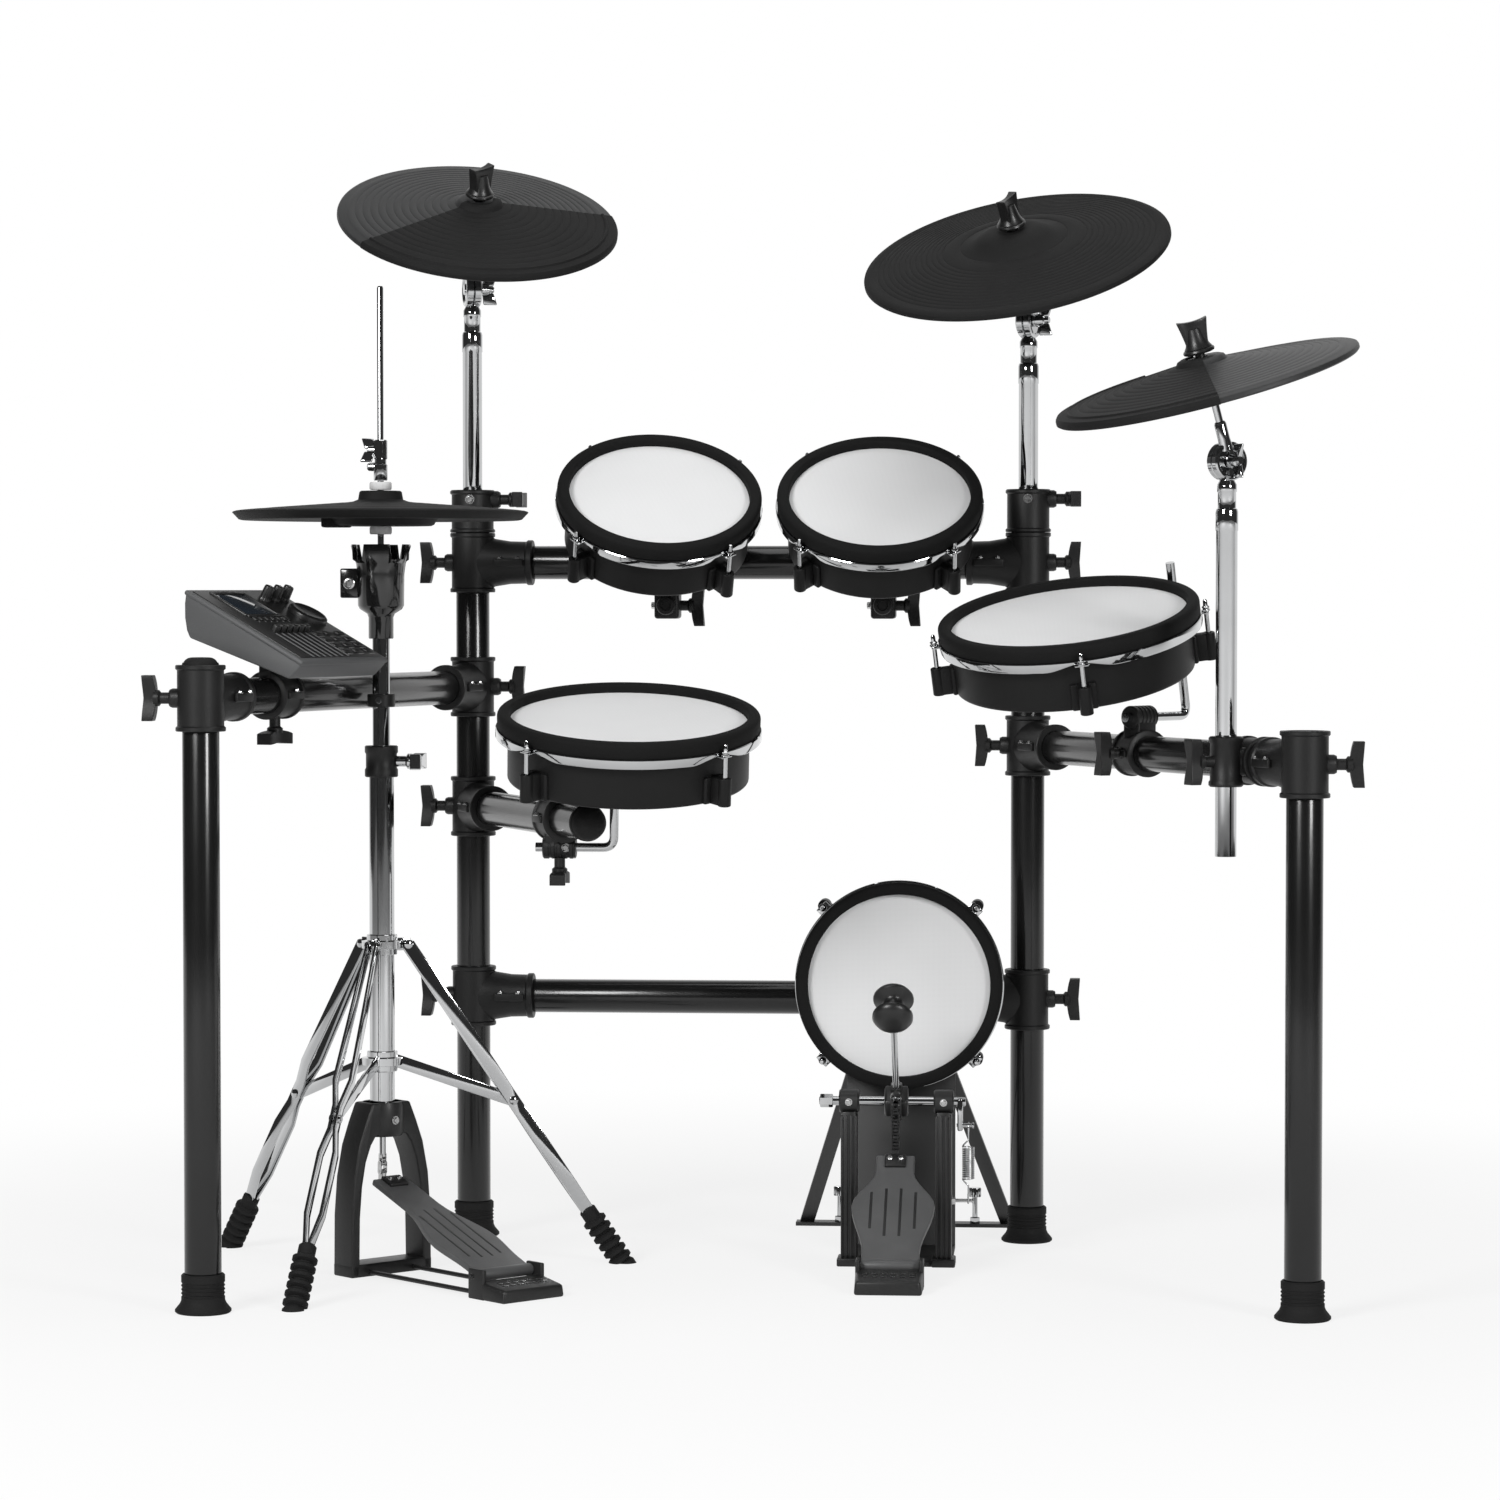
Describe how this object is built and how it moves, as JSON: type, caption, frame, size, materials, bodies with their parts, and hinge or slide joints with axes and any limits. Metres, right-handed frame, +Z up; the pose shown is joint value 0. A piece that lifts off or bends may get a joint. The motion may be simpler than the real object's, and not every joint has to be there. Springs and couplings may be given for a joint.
{
  "type": "electronic drum kit",
  "caption": "Electronic drum kit on a tube rack: mesh drum pads, rubber cymbal pads on masts, hi-hat stand with pedal, kick tower with beater pedal and a sound module.",
  "frame": {"origin": "middle of the bounding box on the floor", "axes": "+X to the right in the picture, +Y away from the player to the rear posts, +Z up"},
  "size_m": [1.2617, 0.7655, 1.236],
  "materials": {
    "black_tube": "satin gloss black",
    "clamp_plastic": "textured black",
    "foot_rubber": "matt black",
    "stand_chrome": "polished",
    "tilter_chrome": "polished",
    "hoop_rubber": "black rubber rim over a chrome hoop",
    "shell_plastic": "satin black",
    "mesh": "white mesh",
    "cymbal_rubber": "dark grey rubber",
    "case_plastic": "dark grey",
    "control_plastic": "black and grey",
    "pedal_metal": "dark grey enamel",
    "bright_steel": "bright"
  },
  "bodies": {
    "rack": {"rear_posts": "black_tube", "crossbars": "black_tube", "rear_clamps": "clamp_plastic", "rear_feet": "foot_rubber", "clamp_knobs": "clamp_plastic", "snare_arm": "black_tube", "drum_mounts": "clamp_plastic", "hihat_stand": "stand_chrome", "tripod_feet": "foot_rubber", "hihat_frame": "pedal_metal", "hihat_chain": "bright_steel", "kick_shell": "shell_plastic", "kick_head": "mesh", "kick_hoop": "hoop_rubber", "kick_tower": "pedal_metal", "kick_pedal_frame": "pedal_metal", "kick_spring": "bright_steel", "kick_chain": "bright_steel"},
    "left_wing": {"side_bar_left": "black_tube", "front_leg_left": "black_tube", "wing_clamps_left": "clamp_plastic", "leg_trim_left": "foot_rubber", "module_bracket": "clamp_plastic"},
    "right_wing": {"side_bar_right": "black_tube", "front_leg_right": "black_tube", "wing_clamps_right": "clamp_plastic", "leg_trim_right": "foot_rubber", "right_bar_grips": "clamp_plastic"},
    "module": {"module_case": "case_plastic", "module_controls": "control_plastic"},
    "dial": {"module_dial": "control_plastic"},
    "knob_1": {"module_knob_1": "control_plastic"},
    "knob_2": {"module_knob_2": "control_plastic"},
    "knob_3": {"module_knob_3": "control_plastic"},
    "hihat_pedal": {"hihat_footboard": "pedal_metal"},
    "hihat_top": {"hihat_rod": "stand_chrome", "hihat_pad": "cymbal_rubber"},
    "kick_pedal": {"kick_footboard": "pedal_metal"},
    "kick_beater": {"kick_beater": "stand_chrome"},
    "snare": {"snare_shell": "shell_plastic", "snare_head": "mesh", "snare_hoop": "hoop_rubber"},
    "tom_left": {"tom_left_shell": "shell_plastic", "tom_left_head": "mesh", "tom_left_hoop": "hoop_rubber"},
    "tom_right": {"tom_right_shell": "shell_plastic", "tom_right_head": "mesh", "tom_right_hoop": "hoop_rubber"},
    "floor_tom": {"floor_tom_shell": "shell_plastic", "floor_tom_head": "mesh", "floor_tom_hoop": "hoop_rubber"},
    "crash_left_mast": {"crash_left_mast": "stand_chrome"},
    "crash_left_tilter": {"crash_left_tilter": "tilter_chrome"},
    "crash_left_pad": {"crash_left_pad": "cymbal_rubber"},
    "ride_mast": {"ride_mast": "stand_chrome"},
    "ride_tilter": {"ride_tilter": "tilter_chrome"},
    "ride_pad": {"ride_pad": "cymbal_rubber"},
    "crash_right_mast": {"crash_right_mast": "stand_chrome"},
    "crash_right_tilter": {"crash_right_tilter": "tilter_chrome"},
    "crash_right_pad": {"crash_right_pad": "cymbal_rubber"}
  },
  "joints": [
    {"name": "left_wing_swing", "type": "hinge", "parent": "rack", "child": "left_wing", "pos_m": [-0.35195, 0.255, 0], "axis": [0, 0, 1], "range_deg": [-20, 0]},
    {"name": "right_wing_swing", "type": "hinge", "parent": "rack", "child": "right_wing", "pos_m": [0.28355, 0.255, 0], "axis": [0, 0, 1], "range_deg": [0, 20]},
    {"name": "module_tilt", "type": "hinge", "parent": "left_wing", "child": "module", "pos_m": [-0.50421, -0.17377, 0.668], "axis": [0.3502, 0.9367, 0], "range_deg": [-10, 10]},
    {"name": "module_dial_turn", "type": "hinge", "parent": "module", "child": "dial", "pos_m": [-0.47764, -0.12862, 0.71433], "axis": [0.4369, -0.1633, 0.8846], "continuous": true},
    {"name": "module_knob_1_turn", "type": "hinge", "parent": "module", "child": "knob_1", "pos_m": [-0.5202, -0.149, 0.73159], "axis": [0.4369, -0.1633, 0.8846], "range_deg": [-150, 150]},
    {"name": "module_knob_2_turn", "type": "hinge", "parent": "module", "child": "knob_2", "pos_m": [-0.5132, -0.13027, 0.73159], "axis": [0.4369, -0.1633, 0.8846], "range_deg": [-150, 150]},
    {"name": "module_knob_3_turn", "type": "hinge", "parent": "module", "child": "knob_3", "pos_m": [-0.50619, -0.11153, 0.73159], "axis": [0.4369, -0.1633, 0.8846], "range_deg": [-150, 150]},
    {"name": "snare_tilt", "type": "hinge", "parent": "rack", "child": "snare", "pos_m": [-0.21947, -0.02527, 0.464], "axis": [1, 0, 0], "range_deg": [-8, 8]},
    {"name": "tom_left_tilt", "type": "hinge", "parent": "rack", "child": "tom_left", "pos_m": [-0.1273, 0.23404, 0.80327], "axis": [1, 0, 0], "range_deg": [-12, 12]},
    {"name": "tom_right_tilt", "type": "hinge", "parent": "rack", "child": "tom_right", "pos_m": [0.1194, 0.23404, 0.80327], "axis": [1, 0, 0], "range_deg": [-12, 12]},
    {"name": "floor_tom_tilt", "type": "hinge", "parent": "right_wing", "child": "floor_tom", "pos_m": [0.4076, 0.02423, 0.605], "axis": [0.6231, 0.7822, 0], "range_deg": [-10, 10]},
    {"name": "crash_left_height", "type": "slide", "parent": "rack", "child": "crash_left_mast", "axis": [0, 0, 1], "range_m": [-0.08, 0.15]},
    {"name": "crash_left_tilt", "type": "hinge", "parent": "crash_left_mast", "child": "crash_left_tilter", "pos_m": [-0.35195, 0.255, 1.086], "axis": [-0.9568, -0.2907, 0], "range_deg": [-20, 20]},
    {"name": "crash_left_rock", "type": "hinge", "parent": "crash_left_tilter", "child": "crash_left_pad", "pos_m": [-0.33884, 0.21186, 1.17188], "axis": [-0.9568, -0.2907, 0], "range_deg": [-8, 8], "stiffness_Nm_per_rad": 6},
    {"name": "ride_height", "type": "slide", "parent": "rack", "child": "ride_mast", "axis": [0, 0, 1], "range_m": [-0.08, 0.15]},
    {"name": "ride_tilt", "type": "hinge", "parent": "ride_mast", "child": "ride_tilter", "pos_m": [0.28355, 0.255, 1.048], "axis": [-0.9336, 0.3584, 0], "range_deg": [-20, 20]},
    {"name": "ride_rock", "type": "hinge", "parent": "ride_tilter", "child": "ride_pad", "pos_m": [0.26771, 0.21375, 1.13435], "axis": [-0.9336, 0.3584, 0], "range_deg": [-8, 8], "stiffness_Nm_per_rad": 6},
    {"name": "crash_right_height", "type": "slide", "parent": "right_wing", "child": "crash_right_mast", "axis": [0, 0, 1], "range_m": [-0.06, 0.06]},
    {"name": "crash_right_tilt", "type": "hinge", "parent": "crash_right_mast", "child": "crash_right_tilter", "pos_m": [0.49331, -0.21126, 0.875], "axis": [-0.5432, 0.8396, 0], "range_deg": [-20, 20]},
    {"name": "crash_right_rock", "type": "hinge", "parent": "crash_right_tilter", "child": "crash_right_pad", "pos_m": [0.46882, -0.2271, 0.96751], "axis": [-0.5432, 0.8396, 0], "range_deg": [-8, 8], "stiffness_Nm_per_rad": 6},
    {"name": "hihat_pedal", "type": "hinge", "parent": "rack", "child": "hihat_pedal", "pos_m": [-0.26153, -0.18163, 0.024], "axis": [-0.6997, -0.7145, 0], "range_deg": [0, 5], "stiffness_Nm_per_rad": 25, "springref_deg": -17.19, "deforming": ["hihat_chain"]},
    {"name": "hihat_rod_pull", "type": "slide", "parent": "rack", "child": "hihat_top", "axis": [0, 0, -1], "range_m": [0, 0.0185]},
    {"name": "kick_pedal", "type": "hinge", "parent": "rack", "child": "kick_pedal", "pos_m": [0.1428, -0.107, 0.024], "axis": [-1, 0, 0], "range_deg": [0, 19], "stiffness_Nm_per_rad": 4, "springref_deg": -20.05, "deforming": ["kick_spring", "kick_chain"]},
    {"name": "kick_beater_swing", "type": "hinge", "parent": "rack", "child": "kick_beater", "pos_m": [0.1428, 0.0595, 0.181], "axis": [-1, 0, 0], "range_deg": [0, 52.5]}
  ],
  "couplings": [
    {"joint": "hihat_rod_pull", "follows": "hihat_pedal", "m_per_rad": 0.209},
    {"joint": "kick_beater_swing", "follows": "kick_pedal", "ratio": 2.7368}
  ]
}
